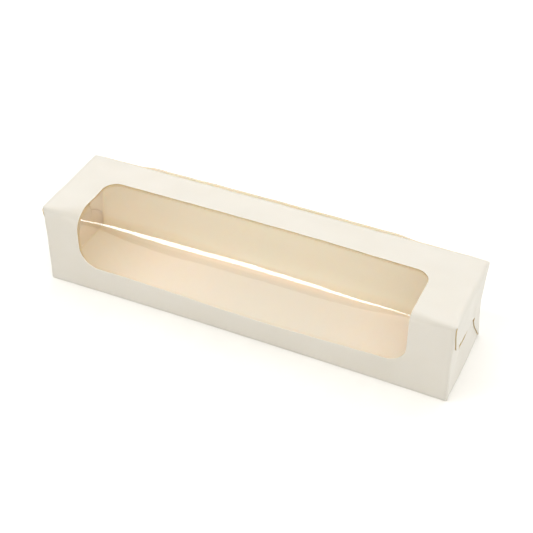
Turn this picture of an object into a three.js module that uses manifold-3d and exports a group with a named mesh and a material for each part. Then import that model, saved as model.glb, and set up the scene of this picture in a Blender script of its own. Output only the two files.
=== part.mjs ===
// Long folded-card gift box for a row of macarons, standing on its bottom, shut.
// One die-cut card blank makes the tube and the locked ends, and one clear film
// is glued behind the window that runs over the top front fold.
// Millimetres. X along the box, -Y the front, +Z up, origin at the bottom centre.

import * as THREE from 'three';
import { mergeVertices } from 'three/addons/utils/BufferGeometryUtils.js';
import { TessellateModifier } from 'three/addons/modifiers/TessellateModifier.js';
import Module from 'manifold-3d';

// Outer size of the shut box
const LENGTH = 240;
const DEPTH = 57;
const HEIGHT = 51;

// Card
const BOARD = 0.5;
const FOLD_RADIUS = 0.9;
const FOLD_SEGMENTS = 3;
const LAYER_GAP = 0.25;
const SCORE = 0.1;

// Window, cut through the top and the front over their shared fold
const WINDOW_WIDTH = 194.5;
const WINDOW_SHIFT = -1.3;
const WINDOW_TOP_REACH = 37;
const WINDOW_SILL = 17.5;
const WINDOW_TOP_RADIUS = 8.5;
const WINDOW_FRONT_RADIUS = 11.5;

// Clear film behind the window
const FILM = 0.25;
const FILM_CLEARANCE = 0.3;
const FILM_OVERLAP = 9;
const FILM_BEND_RADIUS = 3;
const FILM_BEND_SEGMENTS = 6;

// Seam at the top of the back: a flap of the top panel glued behind the back wall
const SEAM_FLAP = 15;
const SEAM_FLAP_TAPER = 8;
const GLUE_TOP = 43;
const GLUE_BOTTOM = 37;
const GLUE_LENGTH = 200;

// End closure, heights above the bottom and half widths across the end
const LOCK_HEIGHT = 30;
const TOP_FLAP_SHOULDER = 22.5;
const SHOULDER_RADIUS = 4;
const TONGUE_HALF = 17;
const TONGUE_LENGTH = 15;
const TONGUE_RADIUS = 4;
const TONGUE_RAMP = 2;
const SIDE_FLAP_REACH = 24;
const SIDE_FLAP_TIP = 10.5;
const SIDE_FLAP_TIP_HEIGHT = 27;
const SIDE_FLAP_HEEL = 3.5;
const SIDE_FLAP_HEEL_HEIGHT = 3;
const BOTTOM_FLAP_HEIGHT = 27;
const BOTTOM_FLAP_HALF = 25;
const BOTTOM_FLAP_SHOULDER = 15;
const BOTTOM_FLAP_NECK = 20;
const FLAP_CORNER = 3;
const LOCK_SLOT = 3;

// Slack of the real card: how far the walls have moved off their flat planes
const BACK_BOW = 1.6;
const CREASE_BOW = 1;
const TOP_BULGE = 1.1;
const FRONT_BOW = 1.6;
const FRONT_BOW_CENTRE = 12;
const FRONT_BOW_HALF = 85;
const END_DENT = 1.6;
const END_DENT_REACH = 32;

// Longest triangle edge that still follows the slack
const MESH_EDGE = 36;
const MESH_PASSES = 16;

const wasm = await Module();
wasm.setup();

const HALF = LENGTH / 2;
const FRONT = -DEPTH / 2;
const BACK = DEPTH / 2;
const FLAT_EDGE = BACK - FOLD_RADIUS - BOARD / 4;
const WALL_MIDDLE = BOARD / 2;
const layerFace = (layer) => HALF - layer * (BOARD + LAYER_GAP);

// Closed solid from a three.js geometry
function toSolid(geometry) {
  const bare = geometry.clone();
  bare.deleteAttribute('normal');
  bare.deleteAttribute('uv');
  const merged = mergeVertices(bare, 1e-4);
  const solid = new wasm.Manifold(
    new wasm.Mesh({
      numProp: 3,
      vertProperties: new Float32Array(merged.attributes.position.array),
      triVerts: new Uint32Array(merged.index.array),
    }),
  );
  return solid;
}

function toGeometry(solid) {
  const mesh = solid.getMesh();
  const geometry = new THREE.BufferGeometry();
  geometry.setAttribute('position', new THREE.BufferAttribute(new Float32Array(mesh.vertProperties), 3));
  geometry.setIndex(new THREE.BufferAttribute(new Uint32Array(mesh.triVerts), 1));
  return geometry;
}

const join = (solids) => solids.reduce((whole, solid) => whole.add(solid));

// Block between two corners
function block(low, high) {
  const size = high.map((value, axis) => value - low[axis]);
  const geometry = new THREE.BoxGeometry(...size);
  geometry.translate(...low.map((value, axis) => value + size[axis] / 2));
  return toSolid(geometry);
}

// Outline in the Y-Z plane carried along X
function alongX(shape, from, to, curveSegments = FOLD_SEGMENTS) {
  const geometry = new THREE.ExtrudeGeometry(shape, { depth: to - from, bevelEnabled: false, curveSegments });
  const turn = new THREE.Matrix4().makeBasis(
    new THREE.Vector3(0, 1, 0),
    new THREE.Vector3(0, 0, 1),
    new THREE.Vector3(1, 0, 0),
  );
  geometry.applyMatrix4(turn);
  geometry.translate(from, 0, 0);
  return geometry;
}

// Outline of straight edges whose corners are rounded by their own radii
function roundedOutline(corners) {
  const shape = new THREE.Shape();
  const count = corners.length;
  corners.forEach(([x, y, radius], index) => {
    const point = new THREE.Vector2(x, y);
    const before = new THREE.Vector2(...corners[(index + count - 1) % count]);
    const after = new THREE.Vector2(...corners[(index + 1) % count]);
    const entry = point.clone().add(before.sub(point).setLength(radius));
    const exit = point.clone().add(after.sub(point).setLength(radius));
    if (index === 0) {
      shape.moveTo(entry.x, entry.y);
    } else {
      shape.lineTo(entry.x, entry.y);
    }
    if (radius > 0) {
      shape.quadraticCurveTo(point.x, point.y, exit.x, exit.y);
    }
  });
  shape.closePath();
  return shape;
}

// One side of the bent sheet's section, inset from the outer face: from the back
// wall's free edge down, along the bottom, up the front, over the top and down
// the seam flap behind the back wall
function sheetSide(inset) {
  const seamFace = BACK - BOARD - LAYER_GAP - inset;
  const radius = FOLD_RADIUS - inset;
  const low = inset;
  const high = HEIGHT - inset;
  const front = FRONT + inset;
  const back = BACK - inset;
  const path = new THREE.Path();
  path.moveTo(back, HEIGHT - BOARD / 2);
  path.lineTo(back, low + radius);
  path.absarc(back - radius, low + radius, radius, 0, -Math.PI / 2, true);
  path.absarc(front + radius, low + radius, radius, -Math.PI / 2, -Math.PI, true);
  path.absarc(front + radius, high - radius, radius, Math.PI, Math.PI / 2, true);
  path.absarc(seamFace - radius, high - radius, radius, Math.PI / 2, 0, true);
  path.lineTo(seamFace, HEIGHT - SEAM_FLAP);
  return path.getPoints(FOLD_SEGMENTS);
}

// Room beyond the ends of the walls: each wall stops at its own flap's layer, and
// the seam flap has slanted ends
function endRoom(end) {
  const sideEnd = layerFace(1) - SCORE;
  const bottomEnd = layerFace(2) - SCORE;
  const beyond = HALF + 1;
  const span = (from) => [Math.min(end * from, end * beyond), Math.max(end * from, end * beyond)];
  const [sideLow, sideHigh] = span(sideEnd);
  const [bottomLow, bottomHigh] = span(bottomEnd);
  const belowTop = block([sideLow, FRONT - 1, -1], [sideHigh, BACK + 1, HEIGHT - FOLD_RADIUS + BOARD / 2]);
  const bottom = block([bottomLow, -FLAT_EDGE, -1], [bottomHigh, FLAT_EDGE, BOARD + WALL_MIDDLE]);
  const flapTop = HEIGHT - FOLD_RADIUS + SCORE;
  const taper = new THREE.Shape([
    new THREE.Vector2(end * beyond, flapTop),
    new THREE.Vector2(end * (bottomEnd - 1), flapTop),
    new THREE.Vector2(end * (bottomEnd - SEAM_FLAP_TAPER), HEIGHT - SEAM_FLAP - 1),
    new THREE.Vector2(end * beyond, HEIGHT - SEAM_FLAP - 1),
  ]);
  const wedge = new THREE.ExtrudeGeometry(taper, { depth: 1, bevelEnabled: false });
  wedge.rotateX(Math.PI / 2);
  wedge.translate(0, BACK - BOARD - LAYER_GAP / 2, 0);
  return join([belowTop, bottom, toSolid(wedge)]);
}

// The four walls and the seam flap, as one bent sheet
function tubeSolid() {
  const section = new THREE.Shape([...sheetSide(0), ...sheetSide(BOARD).reverse()]);
  const length = layerFace(0) - SCORE;
  const sheet = toSolid(alongX(section, -length, length));
  const glue = block(
    [-GLUE_LENGTH / 2, BACK - BOARD - LAYER_GAP - WALL_MIDDLE, GLUE_BOTTOM],
    [GLUE_LENGTH / 2, BACK - WALL_MIDDLE, GLUE_TOP],
  );
  return join([sheet.subtract(join([endRoom(-1), endRoom(1)])), glue]);
}

// Prisms that cut the window through the top panel and the front wall
function windowCutter() {
  const left = WINDOW_SHIFT - WINDOW_WIDTH / 2;
  const right = WINDOW_SHIFT + WINDOW_WIDTH / 2;
  const rear = FRONT + WINDOW_TOP_REACH;
  const topOutline = roundedOutline([
    [left, FRONT - 1, 0],
    [right, FRONT - 1, 0],
    [right, rear, WINDOW_TOP_RADIUS],
    [left, rear, WINDOW_TOP_RADIUS],
  ]);
  const top = new THREE.ExtrudeGeometry(topOutline, { depth: 3, bevelEnabled: false, curveSegments: 8 });
  top.translate(0, 0, HEIGHT - 2);
  const frontOutline = roundedOutline([
    [left, WINDOW_SILL, WINDOW_FRONT_RADIUS],
    [right, WINDOW_SILL, WINDOW_FRONT_RADIUS],
    [right, HEIGHT + 1, 0],
    [left, HEIGHT + 1, 0],
  ]);
  const front = new THREE.ExtrudeGeometry(frontOutline, { depth: 3, bevelEnabled: false, curveSegments: 8 });
  front.rotateX(Math.PI / 2);
  front.translate(0, FRONT + 2, 0);
  return join([toSolid(top), toSolid(front)]);
}

// Plate of card lying in an end face, at its layer from the outside
function endPlate(end, layer, outline) {
  const outer = layerFace(layer);
  const [from, to] = end > 0 ? [outer - BOARD, outer] : [-outer, BOARD - outer];
  return toSolid(alongX(outline, from, to, 4));
}

// Top flap, folded down over the others, its tongue pushed in behind them
function topFlap(end) {
  const edge = BACK - LAYER_GAP;
  const plate = endPlate(end, 0, roundedOutline([
    [-FLAT_EDGE, HEIGHT - WALL_MIDDLE, 0],
    [-edge, HEIGHT - FOLD_RADIUS, 0],
    [-TOP_FLAP_SHOULDER - SHOULDER_RADIUS, LOCK_HEIGHT, SHOULDER_RADIUS],
    [TOP_FLAP_SHOULDER + SHOULDER_RADIUS, LOCK_HEIGHT, SHOULDER_RADIUS],
    [edge, HEIGHT - FOLD_RADIUS, 0],
    [FLAT_EDGE, HEIGHT - WALL_MIDDLE, 0],
  ]));
  const outer = layerFace(0);
  const inner = layerFace(3);
  const tip = LOCK_HEIGHT - TONGUE_LENGTH;
  const section = new THREE.Shape([
    new THREE.Vector2(outer, LOCK_HEIGHT + 1),
    new THREE.Vector2(outer - BOARD, LOCK_HEIGHT + 1),
    new THREE.Vector2(inner - BOARD, LOCK_HEIGHT + 1 - TONGUE_RAMP),
    new THREE.Vector2(inner - BOARD, tip),
    new THREE.Vector2(inner, tip),
    new THREE.Vector2(inner, LOCK_HEIGHT + 0.7 - TONGUE_RAMP),
    new THREE.Vector2(outer, LOCK_HEIGHT + 0.7),
  ]);
  const tongue = new THREE.ExtrudeGeometry(section, { depth: 2 * TONGUE_HALF, bevelEnabled: false });
  tongue.rotateX(Math.PI / 2);
  tongue.translate(0, TONGUE_HALF, 0);
  const trim = toSolid(alongX(roundedOutline([
    [-TONGUE_HALF, LOCK_HEIGHT + 2, 0],
    [-TONGUE_HALF, tip, TONGUE_RADIUS],
    [TONGUE_HALF, tip, TONGUE_RADIUS],
    [TONGUE_HALF, LOCK_HEIGHT + 2, 0],
  ]), inner - 2, outer + 1, 4));
  const shaped = toSolid(tongue).intersect(trim);
  return join([plate, end > 0 ? shaped : shaped.mirror([1, 0, 0])]);
}

// Side flap, hinged on the front (side -1) or back (side 1) wall
function sideFlap(end, side) {
  const wall = side * (BACK - WALL_MIDDLE);
  const low = 2 * BOARD;
  const high = HEIGHT - 2 * BOARD;
  const plate = endPlate(end, 1, roundedOutline([
    [wall, low, 0],
    [side * (BACK - SIDE_FLAP_HEEL), SIDE_FLAP_HEEL_HEIGHT, 1],
    [side * SIDE_FLAP_TIP, SIDE_FLAP_TIP_HEIGHT, 2],
    [side * (BACK - SIDE_FLAP_REACH), high - BOARD, 2],
    [wall, high, 0],
  ]));
  const slot = block(
    [end > 0 ? layerFace(4) : -HALF - 1, -TONGUE_HALF - LAYER_GAP, LOCK_HEIGHT - TONGUE_RAMP],
    [end > 0 ? HALF + 1 : -layerFace(4), TONGUE_HALF + LAYER_GAP, LOCK_HEIGHT - TONGUE_RAMP + LOCK_SLOT],
  );
  return plate.subtract(slot);
}

// Bottom flap, innermost but for the tongue
function bottomFlap(end) {
  return endPlate(end, 2, roundedOutline([
    [-FLAT_EDGE, WALL_MIDDLE, 0],
    [FLAT_EDGE, WALL_MIDDLE, 0],
    [BOTTOM_FLAP_HALF, BOTTOM_FLAP_SHOULDER, FLAP_CORNER],
    [BOTTOM_FLAP_NECK, BOTTOM_FLAP_SHOULDER, FLAP_CORNER],
    [TONGUE_HALF, BOTTOM_FLAP_HEIGHT, FLAP_CORNER],
    [-TONGUE_HALF, BOTTOM_FLAP_HEIGHT, FLAP_CORNER],
    [-BOTTOM_FLAP_NECK, BOTTOM_FLAP_SHOULDER, FLAP_CORNER],
    [-BOTTOM_FLAP_HALF, BOTTOM_FLAP_SHOULDER, FLAP_CORNER],
  ]));
}

function cartonSolid() {
  const pieces = [tubeSolid().subtract(windowCutter())];
  [-1, 1].forEach((end) => {
    pieces.push(topFlap(end), sideFlap(end, -1), sideFlap(end, 1), bottomFlap(end));
  });
  return join(pieces);
}

// One face of the film's section, from under the top panel over the bend to
// behind the front sill
function filmSide(inset) {
  const depth = BOARD + FILM_CLEARANCE + inset;
  const radius = FILM_BEND_RADIUS - inset;
  const path = new THREE.Path();
  path.moveTo(FRONT + WINDOW_TOP_REACH + FILM_OVERLAP, HEIGHT - depth);
  path.lineTo(FRONT + depth + radius, HEIGHT - depth);
  path.absarc(FRONT + depth + radius, HEIGHT - depth - radius, radius, Math.PI / 2, Math.PI, false);
  path.lineTo(FRONT + depth, WINDOW_SILL - FILM_OVERLAP);
  return path.getPoints(FILM_BEND_SEGMENTS);
}

function filmSolid() {
  const section = new THREE.Shape([...filmSide(0), ...filmSide(FILM).reverse()]);
  const half = WINDOW_WIDTH / 2 + FILM_OVERLAP;
  return toSolid(alongX(section, WINDOW_SHIFT - half, WINDOW_SHIFT + half));
}

// Rounded hump, 1 in the middle and 0 beyond the ends
function hump(value, centre, halfWidth) {
  const t = THREE.MathUtils.clamp((value - centre) / halfWidth, -1, 1);
  return 0.5 + 0.5 * Math.cos(Math.PI * t);
}

// Where a point of the flat-sided box lies on the real, slightly sprung one
function slackened(point) {
  const { x, y, z } = point;
  const { smoothstep, clamp } = THREE.MathUtils;
  const along = 1 - (x / HALF) ** 2;
  const toBack = clamp((y - FRONT) / DEPTH, 0, 1);
  const up = clamp(z / HEIGHT, 0, 1);
  const outerBack = smoothstep(y, BACK - BOARD - LAYER_GAP, BACK - BOARD);
  const freeEdge = smoothstep(z, GLUE_TOP, HEIGHT - 1);
  const backMove = CREASE_BOW + (BACK_BOW - CREASE_BOW) * outerBack * freeEdge;
  const sill = up < WINDOW_SILL / HEIGHT ? z / WINDOW_SILL : 1 - smoothstep(z, WINDOW_SILL, HEIGHT);
  const frontMove = FRONT_BOW * sill * hump(x, FRONT_BOW_CENTRE, FRONT_BOW_HALF) * (1 - toBack);
  const bulge = TOP_BULGE * hump(toBack, 2 / 3, 2 / 3) * smoothstep(up, 0.6, 1);
  const nearEnd = smoothstep(Math.abs(x), HALF - END_DENT_REACH, HALF);
  const dent = END_DENT * nearEnd * Math.sin(Math.PI * up) * (0.35 + 0.65 * toBack);
  return new THREE.Vector3(
    x - Math.sign(x) * dent,
    y + along * backMove * toBack * up - frontMove,
    z + along * bulge,
  );
}

// Fine enough mesh, then every corner moved to its sprung place
function slackenedGeometry(solid) {
  const fine = new TessellateModifier(MESH_EDGE, MESH_PASSES).modify(toGeometry(solid).toNonIndexed());
  const geometry = mergeVertices(fine, 1e-4);
  const position = geometry.attributes.position;
  const point = new THREE.Vector3();
  for (let index = 0; index < position.count; index += 1) {
    point.fromBufferAttribute(position, index);
    const moved = slackened(point);
    position.setXYZ(index, moved.x, moved.y, moved.z);
  }
  geometry.computeVertexNormals();
  return geometry;
}

function meshOf(name, solid, material) {
  const mesh = new THREE.Mesh(slackenedGeometry(solid), material);
  mesh.name = name;
  return mesh;
}

const ivoryCard = new THREE.MeshStandardMaterial({ color: '#f1ecdd', roughness: 0.62, metalness: 0 });
const clearFilm = new THREE.MeshStandardMaterial({
  color: '#f6f7f4',
  roughness: 0.06,
  metalness: 0,
  transparent: true,
  opacity: 0.2,
});

const box = new THREE.Group();
box.add(meshOf('carton', cartonSolid(), ivoryCard));
box.add(meshOf('window_film', filmSolid(), clearFilm));

export default box;
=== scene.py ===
# %% [markdown]
# # A long card gift box with a clear window, shut and empty
#
# The real box is one flat blank of ivory board, creased, folded round into a tube and glued at the
# top of the back, with a sheet of clear film stuck behind its window.
# A box like this could be made from six slabs, but then the folds, the raw edges of the cut card and
# the way the walls spring would all be missing.
# So the whole blank is worked out here as one bent sheet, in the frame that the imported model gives.

import bpy
import numpy as np
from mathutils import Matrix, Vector


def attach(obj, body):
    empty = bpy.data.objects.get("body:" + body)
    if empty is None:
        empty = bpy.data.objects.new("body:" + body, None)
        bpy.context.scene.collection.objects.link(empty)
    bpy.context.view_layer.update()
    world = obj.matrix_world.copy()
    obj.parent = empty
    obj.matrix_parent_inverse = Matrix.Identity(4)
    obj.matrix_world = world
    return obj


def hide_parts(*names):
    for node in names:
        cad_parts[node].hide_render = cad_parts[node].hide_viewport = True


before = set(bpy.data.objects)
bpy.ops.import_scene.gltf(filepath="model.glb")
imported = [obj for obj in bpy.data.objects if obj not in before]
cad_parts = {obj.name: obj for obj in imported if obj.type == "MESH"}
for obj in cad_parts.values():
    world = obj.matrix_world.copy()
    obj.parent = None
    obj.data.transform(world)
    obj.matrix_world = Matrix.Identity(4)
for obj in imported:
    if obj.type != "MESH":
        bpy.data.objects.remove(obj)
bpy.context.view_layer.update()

# %% [markdown]
# ## The sizes of the box
#
# A maker's drawing gives these: the outside of the shut box, the board, the window and the flaps.
# They are in millimetres, with X along the box, -Y the front, +Z up and the origin in the middle
# of the bottom, and they are the same sizes that the solid part is built from.

# %% Sizes in millimetres
MM = 0.001
LENGTH, DEPTH, HEIGHT = 240.0, 57.0, 51.0
HALF, FRONT, BACK = LENGTH / 2, -DEPTH / 2, DEPTH / 2
CARD = 0.45  # board
LAYER = 0.52  # board with the air between two flaps
FOLD = 0.9  # outer radius of a crease
SOFT_FOLD = 1.4  # the same for the fold between front and top, which the film holds open
SEAM_FACE = BACK - LAYER
SEAM_FLAP, SEAM_TAPER = 15.0, 8.0
WINDOW_LEFT, WINDOW_RIGHT = -98.55, 95.7
WINDOW_REACH, WINDOW_SILL = 36.3, 17.5  # back from the front, and up from the bottom
WINDOW_RADIUS_TOP, WINDOW_RADIUS_SILL = 8.5, 11.5
LOCK_LINE = 30.6  # height of the slit that the tongue goes through
print("outside", LENGTH, "x", DEPTH, "x", HEIGHT, "mm")

# %% [markdown]
# ## The section: a walk round the girth
#
# Cut across, the tube is a strip of card with four folds: down the back, along the bottom, up the
# front, over the top, and down again as the glue flap behind the back wall.
# A fold in card is never a sharp corner, because the board has to stretch round it.
# The walk is therefore made of straight stretches and quarter circles, and one number, the
# distance walked, says where on the card a point is. The same number is a ruler on the flat blank.
# The back wall's free edge, where the walk starts, stands a little above the top.

# %% Walk round the section
FREE_EDGE = HEIGHT + 0.45
STRETCHES = [
    (FREE_EDGE - FOLD, 0),
    (FOLD, 1),
    (DEPTH - 2 * FOLD, 0),
    (FOLD, 1),
    (HEIGHT - FOLD - SOFT_FOLD, 0),
    (SOFT_FOLD, 1),
    (SEAM_FACE - FRONT - SOFT_FOLD - FOLD, 0),
    (FOLD, 1),
    (SEAM_FLAP - FOLD, 0),
]


def plan_walk(stretches):
    """Start distance, start point, heading and curvature of each stretch: a straight one keeps its
    heading, and a fold of radius r turns a quarter to the right over a length of pi r / 2."""
    rows, at, heading, distance = [], np.array([BACK, FREE_EDGE]), -np.pi / 2, 0.0
    for size, is_fold in stretches:
        bend = -1 / size if is_fold else 0.0
        length = np.pi / 2 * size if is_fold else size
        rows.append((distance, at[0], at[1], heading, bend))
        turned = heading + bend * length
        if is_fold:
            step = np.array([np.sin(turned) - np.sin(heading), np.cos(heading) - np.cos(turned)]) / bend
        else:
            step = length * np.array([np.cos(heading), np.sin(heading)])
        at, heading, distance = at + step, turned, distance + length
    return np.array(rows), distance


WALK, WALK_END = plan_walk(STRETCHES)
STOPS = np.append(WALK[:, 0], WALK_END)
BACK_END, BOTTOM_START, BOTTOM_END, FRONT_START, FRONT_END, TOP_START, TOP_END, CREASE_END = STOPS[1:9]


def walked(distance):
    """(y, z) of the outer face after a walked distance, and its outward normal: start point plus
    distance along the heading on a straight stretch, or along the circle's chord on a fold."""
    stretch = np.clip(np.searchsorted(WALK[:, 0], distance, side="right") - 1, 0, len(WALK) - 1)
    start, y, z, heading, bend = np.moveaxis(WALK[stretch], -1, 0)
    along = distance - start
    safe = np.where(bend == 0, 1.0, bend)
    turned = heading + bend * along
    dy = np.where(bend == 0, along * np.cos(heading), (np.sin(turned) - np.sin(heading)) / safe)
    dz = np.where(bend == 0, along * np.sin(heading), (np.cos(heading) - np.cos(turned)) / safe)
    return y + dy, z + dz, -np.sin(turned), np.cos(turned)


print("girth of the blank", round(float(WALK_END), 1), "mm")

# %% [markdown]
# ## From the flat blank to the standing tube
#
# Each wall ends at the crease of its own end flap. The flaps lie on each other, so the inner ones
# have shorter walls, by one thickness of card each, as on a real cutting plan.
# The free edge of the back wall is cut a little lower near both ends, which keeps it clear of the
# flaps when they are folded. It drops softly, and the rows of the blank below it close up.

# %% Blank to space
BLANK_END = HALF - FOLD
TRIM_ZONE = 7.0  # length over which a wall's end is drawn in
EDGE_FROM, EDGE_TO = -86.0, 74.0  # where the free edge stands at its full height
EDGE_RELIEF, EDGE_FADE, EDGE_ROWS = 1.3, 7.0, 6.0


def ease(value, low, high):
    """Rises from 0 at low to 1 at high along 3t^2 - 2t^3."""
    t = np.clip((value - low) / (high - low), 0, 1)
    return t * t * (3 - 2 * t)


def wall_end(s):
    """How far from the middle a wall's flat part ends: the top's is longest, then front and back,
    then the bottom, each one layer shorter, eased over the folds between them."""
    to_bottom = ease(s, BACK_END, BOTTOM_START) * (1 - ease(s, BOTTOM_END, FRONT_START))
    to_top = ease(s, FRONT_END, TOP_START)
    return BLANK_END - LAYER * (1 + to_bottom - to_top)


def edge_cut(u):
    """0 along the middle of the free edge and 1 at its ends, eased over the fade on both sides."""
    leaves_left = ease(u, EDGE_FROM - EDGE_FADE, EDGE_FROM + EDGE_FADE)
    leaves_right = 1 - ease(u, EDGE_TO - EDGE_FADE, EDGE_TO + EDGE_FADE)
    return 1 - leaves_left * leaves_right


def on_tube(u, s):
    """A point of the blank, u along the box and s round the girth, on the folded tube."""
    outer = np.clip((np.abs(u) - BLANK_END + TRIM_ZONE) / TRIM_ZONE, 0, 1)
    x = u - np.sign(u) * (BLANK_END - wall_end(s)) * outer
    flap = np.clip((s - CREASE_END) / (WALK_END - CREASE_END), 0, 1)
    x = x * (1 - flap * SEAM_TAPER / BLANK_END)
    y, z, *normal = walked(s + EDGE_RELIEF * edge_cut(u) * np.clip(1 - s / EDGE_ROWS, 0, 1))
    return np.stack([x, y, z], axis=-1)


print("top wall ends at", round(float(wall_end(np.array(TOP_START + 5))), 2), "mm")

# %% [markdown]
# ## The window's frame
#
# The window is punched through the top and the front over their shared fold.
# A hole in a grid of faces has stair steps, and a boolean cut leaves long thin triangles that
# catch the light. Instead one closed grid runs round the window like a picture frame: one
# parameter goes round the outline, the other from the cut edge out to the end creases.
# Beside the window its lines stay level, so the fold between front and top lies on grid lines.

# %% Sample runs along the box and round the girth
CORNER_ZONE = 14.0
SILL_AT = FRONT_START + WINDOW_SILL - FOLD
REAR_AT = TOP_START + WINDOW_REACH - SOFT_FOLD
WALL_STEP, SIDE_STEP, FOLD_STEP = 3.0, 1.8, 0.28


def spaced(start, stop, step):
    """Even samples from start to stop, both kept, no further apart than step."""
    return np.linspace(start, stop, max(2, int(np.ceil(abs(stop - start) / step)) + 1))


def chained(*runs):
    """Runs of samples laid end to end, each shared end kept once."""
    return np.concatenate([runs[0], *[run[1:] for run in runs[1:]]])


left_run = chained(
    spaced(-BLANK_END, WINDOW_LEFT, SIDE_STEP),
    spaced(WINDOW_LEFT, WINDOW_LEFT + CORNER_ZONE, 1.0),
)
middle_run = chained(
    spaced(WINDOW_LEFT + CORNER_ZONE, EDGE_TO - 2, WALL_STEP),
    spaced(EDGE_TO - 2, EDGE_TO + 2, 0.5),  # finer where the free edge drops
    spaced(EDGE_TO + 2, WINDOW_RIGHT - CORNER_ZONE, 2.5),
)
right_run = chained(
    spaced(WINDOW_RIGHT - CORNER_ZONE, WINDOW_RIGHT, 1.4),
    spaced(WINDOW_RIGHT, BLANK_END, SIDE_STEP),
)
length_run = chained(left_run, middle_run, right_run)
front_corner_run = spaced(FRONT_START, SILL_AT + CORNER_ZONE, SIDE_STEP)
top_corner_run = spaced(REAR_AT - CORNER_ZONE, TOP_END, SIDE_STEP)
side_run = chained(
    spaced(SILL_AT + CORNER_ZONE, FRONT_END, SIDE_STEP),
    spaced(FRONT_END, TOP_START, FOLD_STEP),
    spaced(TOP_START, REAR_AT - CORNER_ZONE, SIDE_STEP),
)
print("samples along the box", len(length_run), "beside the window", len(side_run))

# %% Window frame grid
def rounded_corner(share, radius):
    """Corner of the cut edge, by share of its length: straight, a quarter circle, straight. First
    number is the distance from the corner along the box, second along the girth."""
    straight = CORNER_ZONE - radius
    run = share * (2 * straight + np.pi / 2 * radius)
    turn = np.clip((run - straight) / radius, 0, np.pi / 2)
    before = np.clip(straight - run, 0, None)
    after = np.clip(run - straight - np.pi / 2 * radius, 0, None)
    return radius * (1 - np.cos(turn)) + after, radius * (1 - np.sin(turn)) + before


def corner_runs(side, along, corner_u, corner_s, to_u, to_s, radius):
    """Outer points go up the side samples, then along the box samples. Inner points follow the
    rounded corner at the same share of the length."""
    outer = np.concatenate([
        np.stack([np.full(len(side), along[0]), side], axis=1),
        np.stack([along[1:], np.full(len(along) - 1, side[-1])], axis=1),
    ])
    length = np.append(0, np.cumsum(np.linalg.norm(np.diff(outer, axis=0), axis=1)))
    in_u, in_s = rounded_corner(length / length[-1], radius)
    inner = np.stack([corner_u + to_u * in_u, corner_s + to_s * in_s], axis=1)
    return inner, outer


def straight_runs(samples, along_girth, inner_at, outer_at):
    """Inner and outer points that face each other across a straight side of the window."""
    def line(at):
        still = np.full(len(samples), at)
        return np.stack([still, samples] if along_girth else [samples, still], axis=1)

    return line(inner_at), line(outer_at)


def rear_corner(run, corner_u, to_u):
    return corner_runs(top_corner_run, run, corner_u, REAR_AT, to_u, -1, WINDOW_RADIUS_TOP)


def sill_corner(run, corner_u, to_u):
    return corner_runs(front_corner_run[::-1], run, corner_u, SILL_AT, to_u, 1, WINDOW_RADIUS_SILL)


def reversed_runs(runs):
    return tuple(run[::-1] for run in runs)


outline = [
    straight_runs(side_run, True, WINDOW_LEFT, -BLANK_END),
    rear_corner(left_run, WINDOW_LEFT, 1),
    straight_runs(middle_run, False, REAR_AT, TOP_END),
    reversed_runs(rear_corner(right_run[::-1], WINDOW_RIGHT, -1)),
    straight_runs(side_run[::-1], True, WINDOW_RIGHT, BLANK_END),
    sill_corner(right_run[::-1], WINDOW_RIGHT, -1),
    straight_runs(middle_run[::-1], False, SILL_AT, FRONT_START),
    reversed_runs(sill_corner(left_run, WINDOW_LEFT, 1)),
]
inner_loop = np.concatenate([inner[:-1] for inner, outer in outline])
outer_loop = np.concatenate([outer[:-1] for inner, outer in outline])
near_cut, near_crease = [0, 0.01, 0.03, 0.06], [0.93, 0.955, 0.98, 1]
outward = np.concatenate([near_cut, np.linspace(0.1, 0.9, 12), near_crease])[:, None, None]
frame_blank = inner_loop * (1 - outward) + outer_loop * outward
frame_blank = np.concatenate([frame_blank, frame_blank[:, :1]], axis=1)
print("window frame grid", frame_blank.shape[:2])

# %% Plain grids for the rest of the tube
BACK_FLAP_TOP = HEIGHT - 1.0
HINGE_TOP = FREE_EDGE - BACK_FLAP_TOP


def blank_grid(u_run, s_run):
    """Every u sample with every s sample, rows round the girth and columns along the box."""
    u, s = np.meshgrid(u_run, s_run)
    return np.stack([u, s], axis=-1)


lower_run = chained(
    spaced(0, HINGE_TOP, 0.3),
    spaced(HINGE_TOP, BACK_END, WALL_STEP),
    spaced(BACK_END, BOTTOM_START, FOLD_STEP),
    spaced(BOTTOM_START, BOTTOM_END, WALL_STEP),
    spaced(BOTTOM_END, FRONT_START, FOLD_STEP),
)
seam_run = chained(spaced(TOP_END, CREASE_END, FOLD_STEP), spaced(CREASE_END, WALK_END, 2.5))
tube_blanks = [frame_blank, blank_grid(length_run, lower_run), blank_grid(length_run, seam_run)]
patches = [(on_tube(blank[..., 0], blank[..., 1]), blank) for blank in tube_blanks]
print("tube faces", sum((p.shape[0] - 1) * (p.shape[1] - 1) for p, blank in patches))

# %% [markdown]
# ## The locked ends
#
# Each end is closed by four flaps that lie over each other: the bottom one inside, the front and
# back ones over it, the top one outside, with a tongue pushed in behind them all.
# Each flap starts as a crease, a quarter circle out of its wall, and goes on as a flat plate in
# its own layer. Rows run from the crease to the flap's tip, and the length of each row gives the
# outline, so the rounded shoulders and slanted sides need no cutting.

# %% Flap rows
TURN = np.linspace(0, np.pi / 2, 7)
CREASE_EXTRA = FOLD * (np.pi / 2 - 1)  # how much longer a crease is than it reaches inwards


def bent_rows(layer, plate):
    """Distance into the end face, distance from the middle of the box and length along the card of
    each row: a quarter circle for the crease, then the plate's rows in its layer."""
    face = HALF - LAYER * layer
    inward = np.append(FOLD * (1 - np.cos(TURN)), plate)
    out = np.append(face - FOLD + FOLD * np.sin(TURN), np.full(len(plate), face))
    return inward, out, np.append(TURN * FOLD, plate + CREASE_EXTRA)


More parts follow.
